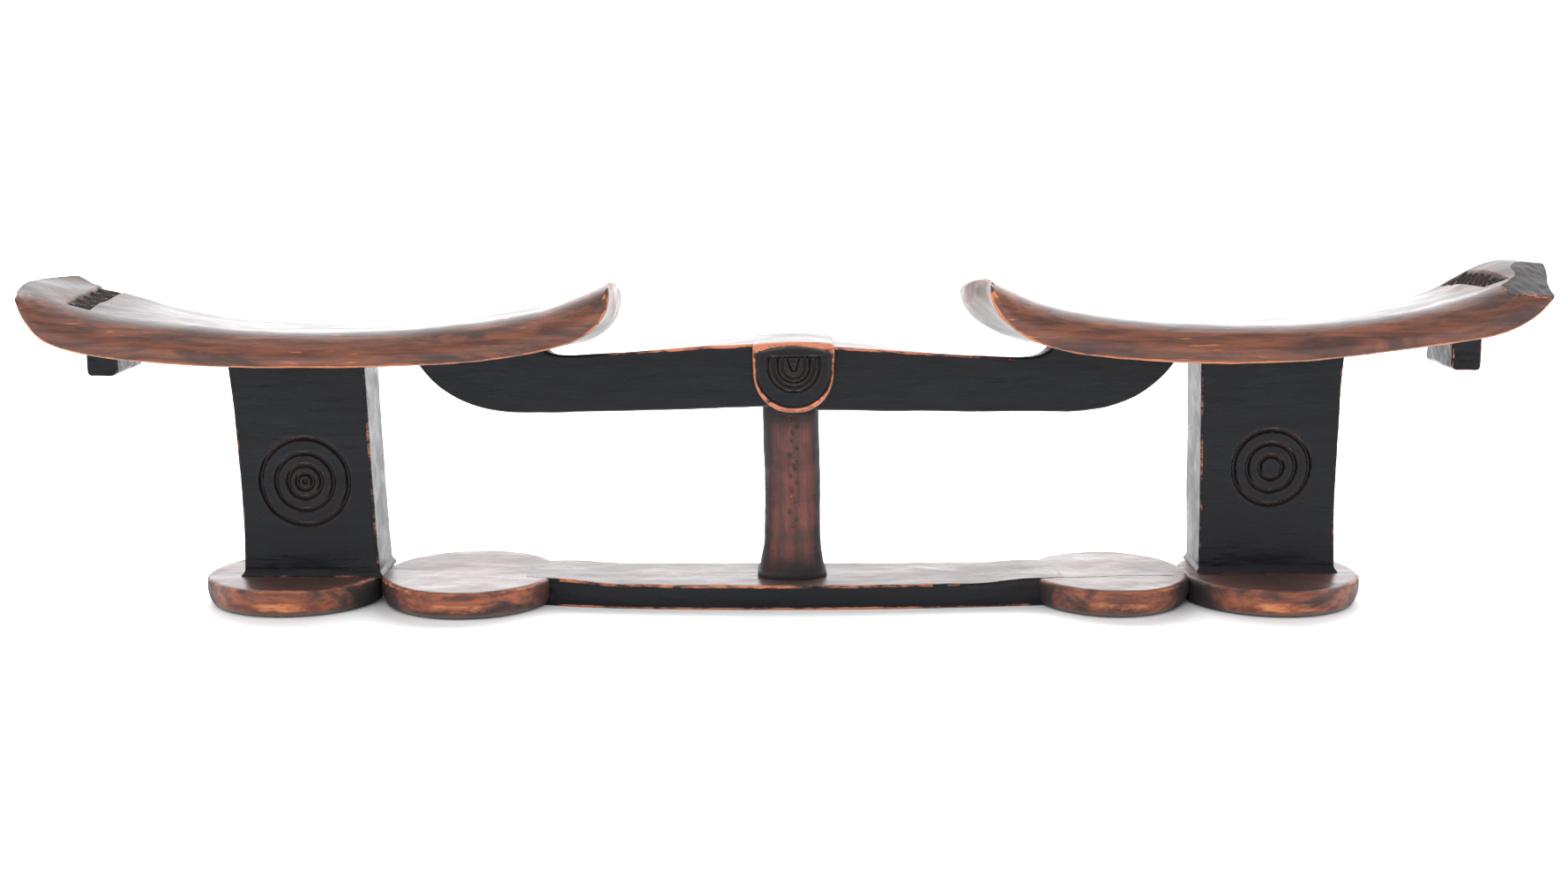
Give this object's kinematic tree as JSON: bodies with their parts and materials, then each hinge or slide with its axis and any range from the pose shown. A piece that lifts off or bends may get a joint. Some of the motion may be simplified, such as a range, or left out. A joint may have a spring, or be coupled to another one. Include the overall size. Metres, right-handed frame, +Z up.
{
  "type": "headrest",
  "caption": "Carved dark wood double headrest: dished head platforms on ringed posts, joined by a beam with a boss, a middle column and a lobed base.",
  "frame": {"origin": "on the ground under the middle of the headrest, halfway between the platforms' outer tips and between the feet's front and back", "axes": "+X along the headrest to the end with three rings on its post, +Y away from the ringed front, +Z up"},
  "size_m": [0.638, 0.077, 0.1428],
  "materials": {
    "platform_wood": "brown wood worn and waxed to a gloss, with orange worn edges",
    "black_wood": "black stained wood, waxed, with worn orange arrises",
    "red_wood": "red-brown waxed wood, dark at its edges",
    "foot_wood": "dark waxed wood with orange-brown worn rims"
  },
  "bodies": {
    "root": {"left_head_platform": "platform_wood", "right_head_platform": "platform_wood", "left_post": "black_wood", "right_post": "black_wood", "left_beam_arm": "black_wood", "right_beam_arm": "black_wood", "center_boss": "black_wood", "center_column": "red_wood", "base_bar": "black_wood", "left_outer_lobe": "foot_wood", "left_inner_lobe": "foot_wood", "right_inner_lobe": "foot_wood", "right_outer_lobe": "foot_wood", "left_lug": "black_wood", "right_lug": "black_wood"}
  },
  "joints": []
}
